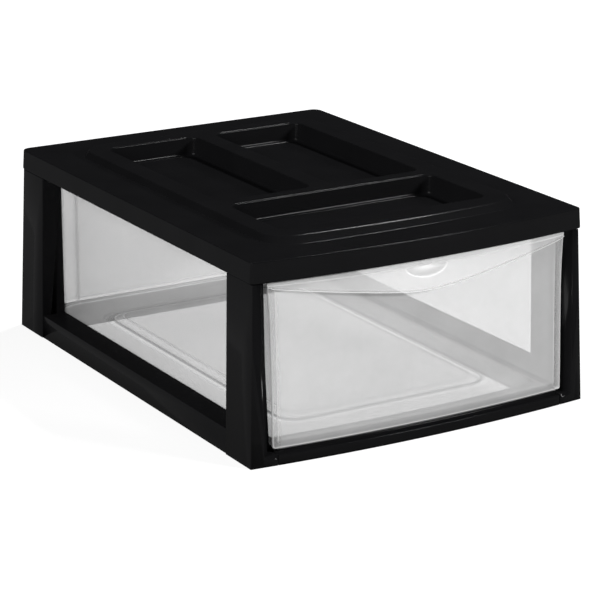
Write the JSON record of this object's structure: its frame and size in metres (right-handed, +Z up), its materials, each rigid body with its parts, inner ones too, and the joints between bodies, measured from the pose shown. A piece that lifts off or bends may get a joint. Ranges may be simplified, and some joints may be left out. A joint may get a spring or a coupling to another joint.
{
  "type": "stackable drawer box",
  "caption": "Stackable plastic drawer box: an open frame with a clip-on tray lid, and one translucent drawer that slides out under a curved pull lip.",
  "frame": {"origin": "centre of the footprint, on the floor plane under the box", "axes": "+Z up, +Y towards the back of the box, so the drawer opens along -Y; +X to the right of someone facing the front"},
  "size_m": [0.295, 0.402, 0.1585],
  "materials": {
    "black_frame": "fine satin moulded polypropylene, black",
    "translucent_drawer": "milky translucent moulded polypropylene"
  },
  "bodies": {
    "frame": {"lid": "black_frame", "front_left_post": "black_frame", "front_right_post": "black_frame", "rear_left_post": "black_frame", "rear_right_post": "black_frame", "left_rail": "black_frame", "right_rail": "black_frame", "front_sill": "black_frame", "rear_crossbar": "black_frame"},
    "drawer": {"drawer": "translucent_drawer"}
  },
  "joints": [
    {"name": "drawer_slide", "type": "slide", "parent": "frame", "child": "drawer", "axis": [0, -1, 0], "range_m": [0, 0.3]}
  ]
}
